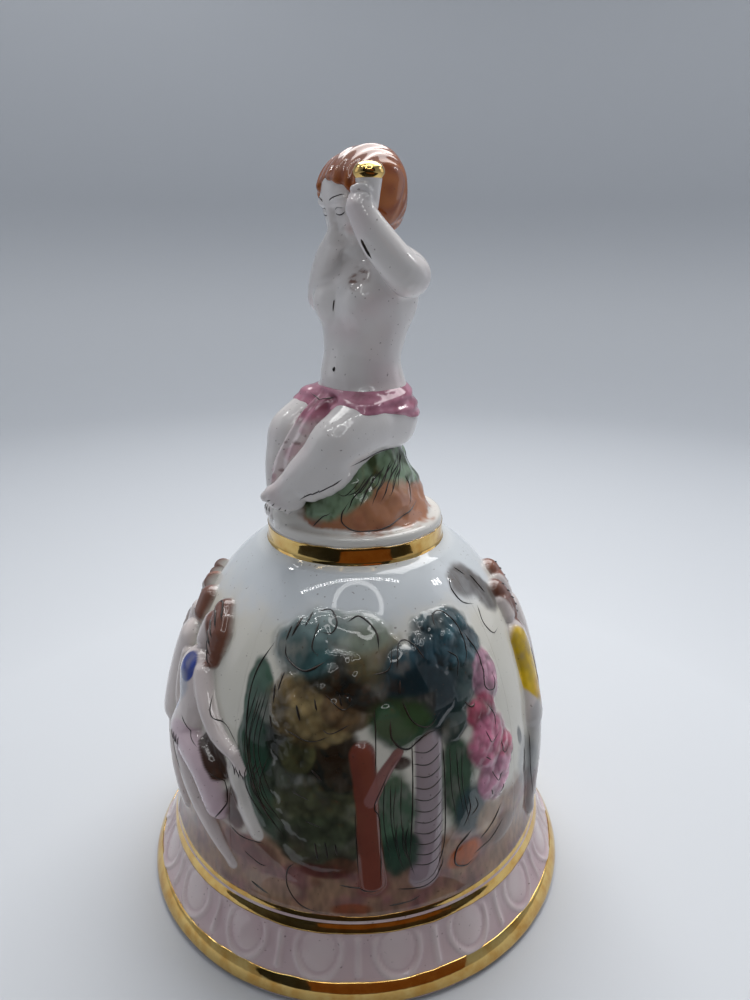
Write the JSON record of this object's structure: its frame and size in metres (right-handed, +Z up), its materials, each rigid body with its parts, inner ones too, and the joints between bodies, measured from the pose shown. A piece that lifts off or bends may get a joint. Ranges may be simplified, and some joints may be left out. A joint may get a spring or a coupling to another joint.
{
  "type": "porcelain bell",
  "caption": "Porcelain table bell with painted relief, gilded lip and collar, a seated figure as its handle, and a ball clapper hung on a chain inside.",
  "frame": {"origin": "centre of the rim plane that the bell stands on", "axes": "+Z up the bell's axis, -Y towards the painted front with the trees, +X to the viewer's right"},
  "size_m": [0.0872, 0.0872, 0.1397],
  "materials": {
    "glazed_porcelain": "clear gloss glaze over white porcelain",
    "painted_porcelain": "hand-painted colours under a clear gloss glaze",
    "clapper_porcelain": "plain gloss glaze",
    "gold": "mirror-bright fired gold film",
    "brass_wire": "drawn wire, lightly dulled",
    "plaster": "matt cast plaster"
  },
  "bodies": {
    "bell": {"bell_body": "glazed_porcelain", "lip_gilding": "gold", "shoulder_gilding": "gold", "collar_gilding": "gold", "relief_couple": "painted_porcelain", "relief_cypress": "painted_porcelain", "relief_left_tree": "painted_porcelain", "relief_right_tree": "painted_porcelain", "relief_rose_bush": "painted_porcelain", "relief_pair": "painted_porcelain", "relief_back_dancers": "painted_porcelain", "relief_back_tree": "painted_porcelain", "rock_seat": "painted_porcelain", "figure_torso": "glazed_porcelain", "figure_left_leg": "glazed_porcelain", "figure_right_leg": "glazed_porcelain", "figure_head": "glazed_porcelain", "figure_left_arm": "glazed_porcelain", "figure_right_arm": "glazed_porcelain", "waist_drape": "painted_porcelain", "gilded_cup": "gold", "crown_plug": "plaster", "hanger_ring": "brass_wire"},
    "link_1": {"chain_link_1": "brass_wire"},
    "link_2": {"chain_link_2": "brass_wire"},
    "link_3": {"chain_link_3": "brass_wire"},
    "clapper": {"clapper_pin": "brass_wire", "clapper_ball": "clapper_porcelain"}
  },
  "joints": [
    {"name": "chain_swing_1", "type": "hinge", "parent": "bell", "child": "link_1", "pos_m": [0, 0, 0.06445], "axis": [1, 0, 0], "range_deg": [-16, 16]},
    {"name": "chain_swing_2", "type": "hinge", "parent": "link_1", "child": "link_2", "pos_m": [0, 0, 0.0582], "axis": [0, 1, 0], "range_deg": [-16, 16]},
    {"name": "chain_swing_3", "type": "hinge", "parent": "link_2", "child": "link_3", "pos_m": [0, 0, 0.05195], "axis": [1, 0, 0], "range_deg": [-16, 16]},
    {"name": "clapper_swing", "type": "hinge", "parent": "link_3", "child": "clapper", "pos_m": [0, 0, 0.0457], "axis": [0, 1, 0], "range_deg": [-16, 16]}
  ]
}
